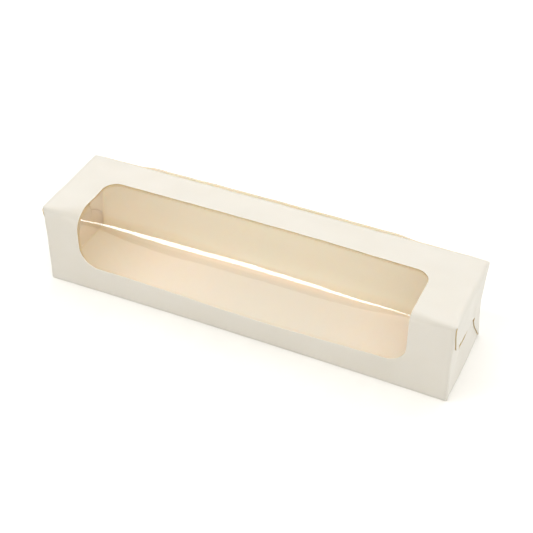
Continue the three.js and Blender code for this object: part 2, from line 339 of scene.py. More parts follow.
def broken_line(at, knots, rounding):
    """A line through (place, value) knots, its corners rounded by averaging over a short stretch."""
    places, values = np.transpose(knots)
    spread = np.linspace(-rounding, rounding, 9)
    return np.interp(np.asarray(at)[:, None] + spread, places, values).mean(axis=1)


def filled_rows(low, high, shares, held=None):
    """Each row from its low to its high end by the shares. held = (first, last, from, to, blend)
    puts two of the samples at set places, more so as blend goes from 0 to 1."""
    rows = low[:, None] + (high - low)[:, None] * shares
    if held is None:
        return rows
    first, last, start, stop, blend = held
    knots = np.array([shares[0], shares[first], shares[last], shares[-1]])
    pinned = np.stack([np.interp(shares, knots, [a, start, stop, b]) for a, b in zip(low, high)])
    return rows + (pinned - rows) * blend[:, None]


def shares_of(run):
    return (run - run[0]) / (run[-1] - run[0])


def nearest(run, value):
    return int(np.argmin(np.abs(run - value)))


def eased_off(value, start, reach):
    """Drops from 1 to 0 as a quarter circle between start and start + reach."""
    return np.sqrt(1 - np.clip((value - start) / reach, 0, 1) ** 2)


print("rows in a crease", len(TURN))

# %% Knuckles where a long fold meets the end creases
LONG_FOLDS = [
    (BACK_END, BOTTOM_START),
    (BOTTOM_END, FRONT_START),
    (FRONT_END, TOP_START),
    (TOP_END, CREASE_END),
]


def knuckle(low, high):
    """The corner of a long fold rolled over the end crease: the fold's own section, moved out by the
    sine of the roll and in along its normals by one minus the cosine."""
    s, roll = np.meshgrid(spaced(low, high, FOLD_STEP), TURN[:-1])
    y, z, normal_y, normal_z = walked(s)
    x, inward = wall_end(s) + FOLD * np.sin(roll), FOLD * (1 - np.cos(roll))
    points = np.stack([x, y - inward * normal_y, z - inward * normal_z], axis=-1)
    return [(points, np.stack([BLANK_END + FOLD * roll, s], axis=-1))]


print("knuckle rows", knuckle(*LONG_FOLDS[0])[0][0].shape[:2])

# %% [markdown]
# ## The top flap, its tongue and the lock line
#
# The lock line is where the tongue leaves the end face and dives through the slots of the side
# flaps. Towards the front it gapes as a dark slit. Towards the back the tongue dives lower and the
# slit closes to a crease. The tongue could be left out, as it is hidden from outside, but the slit
# gets its depth and its shadow from it.

# %% Top flap and its tongue
LOCK = HEIGHT - LOCK_LINE
TOP_FLAP_HALF = [(0, BACK - 0.1), (7, BACK - 0.9), (LOCK, 22.8), (30, 20.5)]  # row, half width
SHOULDER = 2.5
TONGUE_HALF, TONGUE_SHANK, TONGUE_TIP = 14.35, 11, 4
TONGUE_LAYERS, TONGUE_LEAN = 3.4, 0.1  # how deep it dives, and its slope inwards below
DIVE_FROM, DIVE_TO, DIVE_LATE = 1.8, 7.3, 3.0  # below the lock line
top_run = chained(side_run[nearest(side_run, TOP_START):], top_corner_run)


def in_end_face(x, y, z, run):
    """A plate's points from its rows of z and run, its rows or grid of x and its grid of y, with
    their blank."""
    x, z, run = (np.broadcast_to(a if a.ndim == 2 else a[:, None], y.shape) for a in (x, z, run))
    blank = np.stack([BLANK_END + run, TOP_START - FRONT - SOFT_FOLD + y], axis=-1)
    return np.stack([x, y, z], axis=-1), blank


def tongue(roots):
    """Rows go down from the roots, the samples on the lock line, and end in a round tip. The dive
    behind the other flaps comes lower down towards the back."""
    down = chained(
        spaced(0, 9, 0.35), spaced(9, TONGUE_SHANK, 2.0), TONGUE_SHANK + TONGUE_TIP * np.sin(TURN)
    )
    tip = 1 - eased_off(down, TONGUE_SHANK, TONGUE_TIP)
    y = (1 - TONGUE_TIP / TONGUE_HALF * tip)[:, None] * roots
    dive = ease(down[:, None] - DIVE_LATE * ease(y, -2, 5), DIVE_FROM, DIVE_TO)
    x = HALF - TONGUE_LAYERS * LAYER * dive - TONGUE_LEAN * np.clip(down - 8, 0, None)[:, None]
    return down, x, y


def top_flap():
    """Plate from the top's crease down to the lock line, narrower downwards, and its tongue, which
    goes on in the middle."""
    inward, out, run = bent_rows(0, spaced(FOLD, LOCK, 1.6)[1:])
    half = broken_line(inward, TOP_FLAP_HALF, 1.5)
    half = half - SHOULDER * (1 - eased_off(inward, LOCK - SHOULDER, SHOULDER))
    widen = ease(inward, FOLD, FOLD + 1.5)
    low = (FRONT + SOFT_FOLD) * (1 - widen) - half * widen
    high = (SEAM_FACE - FOLD) * (1 - widen) + half * widen
    shares = shares_of(top_run)
    first, last = (nearest(shares, 0.5 + side * TONGUE_HALF / (2 * half[-1])) for side in (-1, 1))
    held = (first, last, -TONGUE_HALF, TONGUE_HALF, ease(inward, 5, LOCK))
    y = filled_rows(low, high, shares, held)
    down, tongue_x, tongue_y = tongue(y[-1, first:last + 1])
    return [
        in_end_face(out, y, HEIGHT - inward, run),
        in_end_face(tongue_x, tongue_y, LOCK_LINE - down, run[-1] + down),
    ]


print("top flap and tongue", [p.shape[:2] for p, blank in top_flap()])

# %% [markdown]
# ## The side flaps and the bottom flap
#
# A side flap is a plate with a slot for the tongue. The plate is made in three parts that share
# their edges: the part from the wall to the slot's end, one finger above the slot and one below.
# The slot of the front flap is cut a little shorter than the back one's, as the tongue dives
# there first.

# %% Front and back flaps
SLOT_HIGH, SLOT_LOW = 32.0, {-1: 24.3, 1: 21.5}  # heights, front flap and back flap
SLOT_END, UPPER_TIP, LOWER_TIP = 14.0, 24.4, {-1: 16.6, 1: 15.0}  # distances into the end face
SIDE_FLAP_CLIMB = [(3.5, 3.6), (8.5, 10.9), (17, 24.6), (25, 49.6), (27, 57)]  # row, height
front_run = chained(front_corner_run, side_run[:nearest(side_run, FRONT_END) + 1])
back_run = lower_run[nearest(lower_run, HINGE_TOP):nearest(lower_run, BACK_END) + 1]


def side_plate(side, rows, face, length, heights):
    """A part of a side flap from its rows' distance inwards, face and length and its heights."""
    x, inward, length = (np.broadcast_to(a[:, None], heights.shape) for a in (face, rows, length))
    girth = (FRONT_START - FOLD + heights) if side < 0 else (FREE_EDGE - heights)
    blank = np.stack([BLANK_END + length, girth], axis=-1)
    return np.stack([x, side * (BACK - inward), heights], axis=-1), blank


def side_flap(side):
    """Plate from the wall's crease to its tip: the lower edge climbs, the upper edge is level, and a
    slot lets the tongue through. Rows run from the wall into the end face, columns go up."""
    run = front_run if side < 0 else back_run[::-1]
    hinge_z = walked(run)[1]
    foot, top, slot_low = hinge_z[0], hinge_z[-1], SLOT_LOW[side]
    first, last = nearest(hinge_z, slot_low), nearest(hinge_z, SLOT_HIGH)

    def low_edge(rows):
        return broken_line(rows, [(-1, foot), (FOLD, foot), *SIDE_FLAP_CLIMB], 0.8)

    inward, out, walk = bent_rows(1, spaced(FOLD, SLOT_END, 1.7)[1:])
    low = np.where(inward == 0, foot, np.maximum(low_edge(inward), foot))
    held = (first, last, slot_low, SLOT_HIGH, ease(inward, FOLD, SLOT_END))
    z = filled_rows(low, np.full(len(inward), top), shares_of(run if side < 0 else -run), held)
    z[0] = hinge_z
    plates = [side_plate(side, inward, out, walk, z)]
    upper, lower = np.linspace(SLOT_END, UPPER_TIP, 10), np.linspace(SLOT_END, LOWER_TIP[side], 6)
    fingers = [
        (upper, np.maximum(low_edge(upper), SLOT_HIGH), np.full(len(upper), top), z[-1, last:]),
        (lower, low_edge(lower), np.full(len(lower), slot_low), z[-1, :first + 1]),
    ]
    for rows, start, stop, root in fingers:
        face = np.full(len(rows), HALF - LAYER)
        heights = filled_rows(start, stop, shares_of(root))
        plates.append(side_plate(side, rows, face, rows + CREASE_EXTRA, heights))
    return plates


print("front flap rows", [p.shape[:2] for p, blank in side_flap(-1)])

# %% Bottom flap
FLAT_HALF = BACK - FOLD
BOTTOM_FLAP_HALF = [(-3, FLAT_HALF), (FOLD, FLAT_HALF), (11, 27), (18, 20), (29, 17), (32, 16.2)]
BOTTOM_SHANK, BOTTOM_TIP = 19.3, 3
BACK_CORNER = 5  # how much of its back corner is cut away
bottom_run = lower_run[nearest(lower_run, BOTTOM_START):nearest(lower_run, BOTTOM_END) + 1]


def bottom_flap():
    """Plate from the bottom's crease, wide up to its shoulders, then a narrower top with rounded
    corners behind which the tongue catches."""
    rows = chained(
        spaced(FOLD, 12, 2.5),
        spaced(12, 18, 0.5),
        spaced(18, BOTTOM_SHANK, 1.3),
        BOTTOM_SHANK + BOTTOM_TIP * np.sin(TURN),
    )[1:]
    inward, out, run = bent_rows(2, rows)
    half = broken_line(inward, BOTTOM_FLAP_HALF, 0.9)
    half = half - BOTTOM_TIP * (1 - eased_off(inward, BOTTOM_SHANK, BOTTOM_TIP))
    half[0] = FLAT_HALF
    back = half - BACK_CORNER * ease(inward, 16, BOTTOM_SHANK + BOTTOM_TIP)
    y = filled_rows(back, -half, shares_of(bottom_run))
    x, z, run = (np.broadcast_to(a[:, None], y.shape) for a in (out, inward, run))
    blank = np.stack([BLANK_END + run, BOTTOM_START + FLAT_HALF - y], axis=-1)
    return [(np.stack([x, y, z], axis=-1), blank)]


def both_ends(made):
    """The same flap at the right end and, mirrored, at the left end."""
    for end in (-1, 1):
        for points, blank in made:
            patches.append((points * [end, 1, 1], blank * [end, 1]))


for long_fold in LONG_FOLDS:
    both_ends(knuckle(*long_fold))
for flap in (top_flap(), side_flap(-1), side_flap(1), bottom_flap()):
    both_ends(flap)
print("patches in the sheet", len(patches))

# %% [markdown]
# ## Card springs
#
# Nothing on a glued card box is quite flat. The film wants to lie flat again and pushes the front
# out over the sill, the seam at the top of the back bows, the top strip rises a little, and the
# ends have been pressed in with a thumb. The fold beside the window is held open by the film, and
# the fold from the top to the right end is blunt from handling. On top of that thin board is
# gently wavy.
# A bending simulation could find such shapes, but the few smooth humps are known, so a
# displacement that depends only on where a point is keeps all the layers apart.

# %% Opened folds
LEFT_OPEN, RIGHT_OPEN, OPEN_LENGTH = 12, 4.5, 27  # more radius for the fold beside the window
END_OPEN, END_REACH = 2.6, 20.0


def hump(value, centre, half_width):
    """1 in the middle, falling to 0 at half_width along half a cosine."""
    return 0.5 + 0.5 * np.cos(np.pi * np.clip((value - centre) / half_width, -1, 1))


def depth_of_bend(t, radius):
    """How far behind the sharp edge a quarter circle lies, along the diagonal, at a signed distance t
    from the edge: 2r - sqrt(2r^2 - t^2) within the bend and |t| beyond it."""
    inside = 2 * radius - np.sqrt(np.maximum(2 * radius ** 2 - t ** 2, 0))
    return np.where(np.abs(t) < radius, inside, np.abs(t))


def opened(first, second, radius, folded_radius, reach):
    """How far a point moves in along both axes when a fold opens, from its distances to the two
    faces: half the difference between the depths of the two circles."""
    t = first - second
    change = depth_of_bend(t, radius) - depth_of_bend(t, folded_radius)
    return (first + second < reach) * change / 2


def softened(points):
    """Opens the front fold towards the window and the fold from the top to the right end: the
    bend's radius grows and the points move in by the difference between the two circles."""
    x, y, z = np.moveaxis(points, -1, 0)
    down = HEIGHT - z
    left_open = LEFT_OPEN * hump(x, WINDOW_LEFT + 6, OPEN_LENGTH)
    front_radius = SOFT_FOLD + left_open + RIGHT_OPEN * hump(x, WINDOW_RIGHT - 4, OPEN_LENGTH)
    moved = opened(y - FRONT, down, front_radius, SOFT_FOLD, DEPTH / 2)
    end_radius = FOLD + END_OPEN * ease(y, FRONT, FRONT + 14) * (1 - ease(y, BACK - 8, BACK))
    rolled = opened(HALF - x, down, end_radius, FOLD, END_REACH)
    return np.stack([x - rolled, y + moved, z - moved - rolled], axis=-1)


print("front fold's corner lies back by", round(float(depth_of_bend(0, SOFT_FOLD + LEFT_OPEN)), 1), "mm")

# %% Slack of the folded box
rng = np.random.default_rng(19)
WAVES = np.column_stack([
    rng.uniform(0.02, 0.075, 14),
    rng.uniform(0, np.pi, 14),
    rng.uniform(0, 2 * np.pi, 14),
    rng.uniform(0.02, 0.045, 14),
])
BACK_LEAN, EDGE_BOW = 1.0, 0.6  # out at the back's top, and more at its free edge
SILL_PUSH, FRONT_BOW = 1.6, 1.0  # the film's push over the sill, and the front's own bow inwards
TOP_RISE, REAR_DRAW = 0.85, 1.2  # the top strip up, and its rear edge forward at the right
END_DENT, FOOT_REACH = 1.3, 24.0  # the ends pressed in, and how high the stiff foot goes
END_SPREAD, END_WAVINESS = {"left": 0.9, "right": 0.3}, 1.4
GROUNDED = (0.5, 8)  # heights over which the waves set in


def wave(a, b):
    """Sum of sine waves of seeded length, direction, phase and height over two coordinates."""
    total = np.zeros(np.shape(a))
    for pace, direction, phase, height in WAVES:
        across = a * np.cos(direction) + b * np.sin(direction)
        total = total + height * np.sin(2 * np.pi * pace * across + phase)
    return total


def slack_of_ends(x, y, z):
    """How far the ends stand out: a dent that grows towards the back and is deepest half way up, a
    foot that the bottom holds out, an even spread, and waves."""
    to_back, up = np.clip((y - FRONT) / DEPTH, 0, 1), np.clip(z / HEIGHT, 0, 1)
    near_end = ease(np.abs(x), HALF - 32, HALF)
    dent = END_DENT * near_end * np.sin(np.pi * up) * (0.1 + 0.8 * to_back)
    foot = ease(np.abs(x), HALF - 12, HALF) * (1 - ease(z, 0, FOOT_REACH))
    foot = foot * (0.3 + 0.6 * np.sin(np.pi * to_back))
    spread = np.where(x < 0, END_SPREAD["left"], END_SPREAD["right"]) * near_end
    wavy = END_WAVINESS * wave(y + 90, z) * near_end * ease(np.abs(z), *GROUNDED)
    return foot + spread - dent + wavy


def sprung(points, waviness=1.0):
    """Moves points of the flat-sided box to where the slack, dents and waves of the card put them.
    Humps fade out as 1 minus the square along the box and are eased across it."""
    x, y, z = np.moveaxis(points, -1, 0)
    along = 1 - (x / HALF) ** 2
    to_back, up = np.clip((y - FRONT) / DEPTH, 0, 1), np.clip(z / HEIGHT, 0, 1)
    free_edge = ease(y, SEAM_FACE, SEAM_FACE + 0.25) * ease(z, 43, HEIGHT - 1)
    back_move = BACK_LEAN + along * (EDGE_BOW * free_edge - 0.05)
    sill = np.where(z < WINDOW_SILL, z / WINDOW_SILL, 1 - ease(z, WINDOW_SILL, HEIGHT))
    front_move = SILL_PUSH * sill * hump(x, 12, 85) * (1 - to_back)
    bow = FRONT_BOW * along * (1 - to_back) * (1 - ease(z, 0, 14))
    draw = REAR_DRAW * ease(x, 10, 90) * hump(y - FRONT, 35, 20) * ease(up, 0.9, 1)
    lift = (1 - along) * (0.65 + 0.35 * x / HALF)
    rise = (along * ease(to_back, 0, 0.7) + lift * ease(to_back, 0.65, 1)) * ease(up, 0.6, 1)
    wavy_y = waviness * wave(x, z) * ease(np.abs(z), *GROUNDED) * (2 * to_back - 1)
    wavy_z = waviness * wave(x + 40, y) * ease(up, 0.8, 1)
    return np.stack([
        x + np.sign(x) * slack_of_ends(x, y, z),
        y + back_move * to_back * up - front_move + bow - draw + wavy_y,
        z + TOP_RISE * rise + wavy_z,
    ], axis=-1)


print("largest wave", round(float(np.abs(wave(*np.meshgrid(length_run, lower_run))).max()), 2), "mm")

# %% Weld the patches into one sheet
def grid_faces(shape, first):
    """Four corners of each face of a grid whose vertices are numbered row by row from first."""
    rows, columns = shape
    number = first + np.arange(rows * columns).reshape(rows, columns)
    corners = [number[:-1, :-1], number[:-1, 1:], number[1:, 1:], number[1:, :-1]]
    return np.stack(corners, axis=-1).reshape(-1, 4)


def outward_faces(points, faces, outside):
    """Turns round the faces of a patch whose mean normal points away from its outside."""
    a, b, c, d = (points[faces[:, k]] for k in range(4))
    normal = np.cross(c - a, d - b).sum(axis=0)
    return faces if normal @ outside > 0 else faces[:, ::-1]


def welded(patches):
    """All patches as one mesh: points closer than a hundredth of a millimetre become one."""
    points = np.concatenate([p.reshape(-1, 3) for p, blank in patches])
    blanks = np.concatenate([blank.reshape(-1, 2) for p, blank in patches])
    faces, first = [], 0
    for index, (p, blank) in enumerate(patches):
        own = grid_faces(p.shape[:2], first)
        if index >= len(tube_blanks):
            own = outward_faces(points, own, np.array([np.sign(p[..., 0].mean()), 0, 0]))
        faces.append(own)
        first += p.shape[0] * p.shape[1]
    keys, kept, back = np.unique(np.round(points, 2), axis=0, return_index=True, return_inverse=True)
    faces = back.reshape(-1)[np.concatenate(faces)]
    flat = (faces == np.roll(faces, 1, axis=1)).any(axis=1)
    return points[kept], blanks[kept], faces[~flat]


card_points, card_blank, card_faces = welded(patches)
print("card sheet", len(card_points), "points", len(card_faces), "faces")

# %% Make the card sheet
def surface(name, points, faces, blank):
    """A mesh object from arrays, in metres, with the flat blank as its UV map."""
    mesh = bpy.data.meshes.new(name)
    mesh.from_pydata((points * MM).tolist(), [], faces.tolist())
    corner = np.empty(len(mesh.loops), np.int32)
    mesh.loops.foreach_get("vertex_index", corner)
    layer = mesh.uv_layers.new(name="blank")
    layer.uv.foreach_set("vector", (blank[corner] * MM).astype(np.float32).reshape(-1))
    mesh.shade_smooth()
    piece = bpy.data.objects.new(name, mesh)
    bpy.context.scene.collection.objects.link(piece)
    return piece


card = surface("card_sheet", sprung(softened(card_points)), card_faces, card_blank)
thickness = card.modifiers.new("board", "SOLIDIFY")
thickness.thickness = CARD * MM
thickness.offset = -1
thickness.use_even_offset = True
thickness.use_quality_normals = True
thickness.material_offset = 1
thickness.material_offset_rim = 2
print("card sheet box", [round(v, 4) for v in card.dimensions])

# %% [markdown]
# ## Where the card has been worked, and where light and shade are painted on it
#
# The creases have a broken coating and a painted shade along each fold, the sill's cut edge is
# painted pale as light falls on it, light seeps through the walls but hardly through the flaps
# that lie on each other, and the bottom's lining has a painted shade that greys its middle.
# These could be painted by hand on an image, but each depends only on a point's place on the flat
# blank, so each is worked out there and kept on the mesh as a number that the materials read.

# %% Marks on the card
MARK_WIDTH = 0.9
END_SEEP = 0.35  # share of the light that still seeps through the end flaps


def nearness(values, stretches, width):
    """1 on a stretch and falling off to both sides as a bell curve."""
    gaps = [np.maximum(np.maximum(low - values, values - high), 0) for low, high in stretches]
    return np.exp(-((np.min(gaps, axis=0) / width) ** 2))


card_u, card_s = card_blank.T
end_creases = [(BLANK_END, BLANK_END + FOLD * np.pi / 2)]
long_marks = nearness(card_s, LONG_FOLDS, MARK_WIDTH) * (np.abs(card_u) < BLANK_END)
single_layer = 1 - (1 - END_SEEP) * ease(np.abs(card_u), BLANK_END - 1, BLANK_END + 1)
marks = {
    # worn coating and painted shade along every crease
    "crease_wear_and_shade": np.maximum(long_marks, nearness(np.abs(card_u), end_creases, MARK_WIDTH)),
    "single_layer": single_layer,
    # painted light on the sill's cut edge
    "sill_painted_light": nearness(card_s, [(SILL_AT - 2, SILL_AT + 2)], 4) * single_layer,
    # painted shade on the middle of the bottom's lining
    "bottom_painted_shade": nearness(card_s, [(BOTTOM_START + 9, BOTTOM_END - 4)], 6) * hump(card_u, 10, 140),
}
for name, value in marks.items():
    card.data.attributes.new(name, "FLOAT", "POINT").data.foreach_set("value", value.astype(np.float32))
print("marks on the card", {name: round(float(value.mean()), 2) for name, value in marks.items()})

# %% [markdown]
# ## Three faces of the board
#
# Folding box board is coated and ivory outside, uncoated manila inside, and where it is cut the
# pressed grey-tan fibres of its middle show.
# The coated face is close to even: faint cloudy mottling, a fine grain that only shows in the
# light's grazing highlight, and a slightly darker line on each crease, partly broken coating and
# partly painted shade on the fold.
# The inside has long fibres, and the cut edge is rough. Noise in the blank's own coordinates
# follows the sheet round its folds, as the fibres do.
# Thin board also lets some light seep through, which is why the inside of the box looks warm and
# bright. A lamp inside the box could fake that, but subsurface scattering about as deep as the
# board is thick gives it where it belongs, and less where flaps overlap. Where they do, the lining
# is painted a warmer tone that stands for the seeped warm light they hold back.

# %% Node helpers
def new_material(name):
    material = bpy.data.materials.new(name)
    material.use_nodes = True
    material.node_tree.nodes.clear()
    return material, material.node_tree


def node(tree, kind, **settings):
    made = tree.nodes.new(kind)
    for key, value in settings.items():
        if key in made.inputs:
            made.inputs[key].default_value = value
        else:
            setattr(made, key, value)
    return made


def link(tree, start, end):
    tree.links.new(start, end)


def blank_coordinates(tree, scale):
    """The flat blank's coordinates, in millimetres times a scale for each direction."""
    uv = node(tree, "ShaderNodeUVMap", uv_map="blank")
    mapping = node(tree, "ShaderNodeMapping", Scale=[value / MM for value in scale])
    link(tree, uv.outputs["UV"], mapping.inputs["Vector"])
    return mapping.outputs["Vector"]


def mark(tree, name):
    """A number that the mesh carries for each of its points."""
    return node(tree, "ShaderNodeAttribute", attribute_name=name, attribute_type="GEOMETRY").outputs["Fac"]


def noise(tree, vector, scale, detail, roughness=0.5):
    made = node(tree, "ShaderNodeTexNoise", Scale=scale, Detail=detail, Roughness=roughness)
    link(tree, vector, made.inputs["Vector"])
    return made.outputs["Fac"]


def ramp(tree, value, stops):
    """Colour ramp from (position, colour) pairs."""
    made = node(tree, "ShaderNodeValToRGB")
    elements = made.color_ramp.elements
    for index, (position, colour) in enumerate(stops):
        element = elements[index] if index < 2 else elements.new(position)
        element.position = position
        element.color = (*colour, 1)
    link(tree, value, made.inputs["Fac"])
    return made.outputs["Color"]


def grey(tree, value, low, high):
    """Number ramp between two values, for roughness."""
    return ramp(tree, value, [(0.3, (low,) * 3), (0.7, (high,) * 3)])


def bump(tree, heights, distance, strength):
    made = node(tree, "ShaderNodeBump", Distance=distance, Strength=strength)
    link(tree, heights, made.inputs["Height"])
    return made.outputs["Normal"]


def mixed(tree, factor, first, second, mode="MIX"):
    """Two colours mixed. A factor or colour is a socket, or else a plain value."""
    made = node(tree, "ShaderNodeMix", data_type="RGBA", blend_type=mode)
    sockets = [made.inputs["Factor"], made.inputs[6], made.inputs[7]]
    for value, socket in zip((factor, first, second), sockets):
        if isinstance(value, (float, tuple)):
            socket.default_value = value
        else:
            link(tree, value, socket)
    return made.outputs[2]


def finish_surface(tree, colour, roughness, normal, settings):
    shader = node(tree, "ShaderNodeBsdfPrincipled", **settings)
    link(tree, colour, shader.inputs["Base Color"])
    link(tree, roughness, shader.inputs["Roughness"])
    link(tree, normal, shader.inputs["Normal"])
    output = node(tree, "ShaderNodeOutputMaterial")
    link(tree, shader.outputs["BSDF"], output.inputs["Surface"])
    return shader


print("node helpers ready")

# %% Coated ivory face
IVORY = (0.692, 0.674, 0.63)
IVORY_DEEP = (0.672, 0.652, 0.60)
# a shade darker than the ivory: worn coating, and painted shade on the folds
IVORY_WORN_AND_SHADED = (0.66, 0.642, 0.595)
SEEP_DEPTH = 0.7 * MM  # about as deep as the board is thick


def ivory_coating():
    """Ivory with cloudy mottling, a fine grain, and a darker line on each crease for worn coating and
    painted shade.
    """
    material, tree = new_material("ivory_coating")
    broad = noise(tree, blank_coordinates(tree, (0.03, 0.03, 0.03)), 1.0, 3)
    fine = noise(tree, blank_coordinates(tree, (1.1, 1.6, 1.0)), 1.0, 4, 0.6)
    cloud = ramp(tree, broad, [(0.3, IVORY_DEEP), (0.72, IVORY)])
    # creases darkened: worn coating, and painted shade on the folds
    colour = mixed(tree, mark(tree, "crease_wear_and_shade"), cloud, (*IVORY_WORN_AND_SHADED, 1))
    shader = finish_surface(tree, colour, grey(tree, fine, 0.5, 0.6), bump(tree, fine, 0.00003, 0.5), {
        "Specular IOR Level": 0.35,
        "Subsurface Scale": SEEP_DEPTH,
        "Subsurface Radius": (0.95, 0.9, 0.84),
    })
    link(tree, mark(tree, "single_layer"), shader.inputs["Subsurface Weight"])
    return material


print("ivory", IVORY)

# %% Manila lining
MANILA = (0.995, 0.88, 0.745)
MANILA_FIBRE = (0.975, 0.845, 0.705)
FLECK = (0.9, 0.86, 0.8)
# painted warm tone for seeped light, deepest on the end flaps where layers overlap
END_FLAP_PAINTED_WARMTH, WALL_PAINTED_WARMTH = (1.0, 0.965, 0.84), (0.995, 0.98, 0.995)
# painted shade: greys the middle of the bottom's lining
BOTTOM_PAINTED_SHADE_TINT = (0.79, 0.882, 0.925)


def manila_lining():
    """Warm uncoated inside with long fibres along the box, a few darker flecks, a painted warmer, deeper
    tone for seeped light on the end flaps and a painted shade greying the bottom, all multiplied together."""
    material, tree = new_material("manila_lining")
    fibres = noise(tree, blank_coordinates(tree, (0.35, 2.4, 1.0)), 1.0, 5, 0.65)
    flecks = noise(tree, blank_coordinates(tree, (0.9, 1.8, 1.0)), 1.0, 2)
    colour = ramp(tree, fibres, [(0.3, MANILA_FIBRE), (0.7, MANILA)])
    tints = [
        ramp(tree, flecks, [(0.0, FLECK), (0.3, (1, 1, 1))]),
        # painted warm tone for seeped light, strongest on the end flaps
        ramp(tree, mark(tree, "single_layer"), [(END_SEEP, END_FLAP_PAINTED_WARMTH), (1.0, WALL_PAINTED_WARMTH)]),
        # painted shade greying the middle of the bottom
        ramp(tree, mark(tree, "bottom_painted_shade"), [(0.0, (1, 1, 1)), (1.0, BOTTOM_PAINTED_SHADE_TINT)]),
    ]
    for tint in tints:
        colour = mixed(tree, 1.0, colour, tint, "MULTIPLY")
    shader = finish_surface(tree, colour, grey(tree, fibres, 0.75, 0.9), bump(tree, fibres, 0.00005, 0.6), {
        "Specular IOR Level": 0.25,
        "Subsurface Scale": SEEP_DEPTH,
        "Subsurface Radius": (1.0, 0.85, 0.7),
    })
    link(tree, mark(tree, "single_layer"), shader.inputs["Subsurface Weight"])
    return material


print("manila", MANILA)

# %% Cut edge
RAW_DARK, RAW_PALE = (0.50, 0.36, 0.15), (0.62, 0.47, 0.23)
# painted light: the sill's cut edge drawn pale, as if washed out by bright light
SILL_EDGE_PAINTED_LIGHT = (0.84, 0.77, 0.66)


def cut_edge():
    """Raw fibres where the board was cut, rough across its thickness, and pale on the sill as painted
    light.
    """
    material, tree = new_material("cut_edge")
    coordinates = node(tree, "ShaderNodeTexCoord")
    mapping = node(tree, "ShaderNodeMapping", Scale=(600, 600, 2600))
    link(tree, coordinates.outputs["Object"], mapping.inputs["Vector"])
    fibres = noise(tree, mapping.outputs["Vector"], 1.0, 4, 0.65)
    raw = ramp(tree, fibres, [(0.3, RAW_DARK), (0.7, RAW_PALE)])
    # painted light: the sill's cut edge is drawn pale
    colour = mixed(tree, mark(tree, "sill_painted_light"), raw, (*SILL_EDGE_PAINTED_LIGHT, 1))
    normal = bump(tree, fibres, 0.00006, 0.7)
    finish_surface(tree, colour, grey(tree, fibres, 0.85, 0.95), normal, {"Specular IOR Level": 0.2})
    return material


for finish in (ivory_coating(), manila_lining(), cut_edge()):
    card.data.materials.append(finish)
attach(card, "root")
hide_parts("carton")
print("finishes on the card", [m.name for m in card.data.materials])

# %% [markdown]
# ## The clear film
#
# A sheet of clear polyester is glued behind the window all round, so it has to turn the same
# corner as the card. At both ends of the window the crease holds it sharp, and in the middle,
# where nothing holds it, it springs out into an open curve that shines as one long line of light.
# An arc would do for a plain bend, but the line's place and width come from where the film leans
# at just the mirror's angle. So the section is given by its lean: it drops fast at the corner,
# stays near half way for a while, drops again and dies away down the front. The table says how long
# each of these stretches is at nine places along the box.

# %% How the film leans
FILM_STEP = 0.25
FILM_BEND = 28.0  # the longest bend, walked along the film
FREE_RISE, FREE_LEAN = 33.0, np.radians(5)
LEANS = np.radians([90, 57, 53, 30, 18, 0])
PLACES = [-96, -88, -75, -45, -20, 9, 50, 80, 95]
BENDS = [
    [13.2, 8.2, 5.25, 7.7, 4.3, 1.4, 4.2, 6.7, 5.1],
    [1.1, 1.3, 1.45, 2.4, 2.45, 2.3, 1.5, 0.75, 0.3],
    [0.4, 0.6, 1.0, 1.0, 1.0, 1.2, 1.0, 1.0, 0.5],
    [1.5, 2.0, 3.7, 4.8, 4.4, 4.0, 3.95, 2.4, 0.6],
    [10, 9.5, 9.5, 9.5, 9.5, 9.5, 9.5, 9.5, 4.0],
]


def film_lean(x, run):
    """Angle of the film's normal above level, after a walked run from where the bend starts: five
    stretches over which the angle drops evenly, whose lengths change softly along the box. In the
    free middle the last one goes on a little past upright."""
    free = ease(x, WINDOW_LEFT + 1, WINDOW_LEFT + 1 + FREE_RISE)
    free = free * (1 - ease(x, WINDOW_RIGHT - 1 - FREE_RISE, WINDOW_RIGHT - 1))
    lengths = np.stack([broken_line(x, list(zip(PLACES, row)), 7.0) for row in BENDS])
    stops = np.concatenate([[0 * x], np.cumsum(lengths, axis=0)])
    angles = LEANS[:, None] - FREE_LEAN * free * (np.arange(len(LEANS)) == len(LEANS) - 1)[:, None]
    return np.stack([np.interp(run, stops[:, k], angles[:, k]) for k in range(len(x))], axis=1)


print("film bends over", [round(sum(row), 1) for row in zip(*BENDS)], "mm")

# %% Film sheet
FILM_GAP, FILM_OVERLAP = 0.3, 9.0
FILM_TOP = HEIGHT - CARD - FILM_GAP
FILM_FRONT = FRONT + CARD + FILM_GAP
FILM_REAR = FRONT + WINDOW_REACH + FILM_OVERLAP
FILM_ROWS, GLUED_ROWS = 16, 5
FILM_THICKNESS, FILM_WAVINESS = 0.1, 0.35


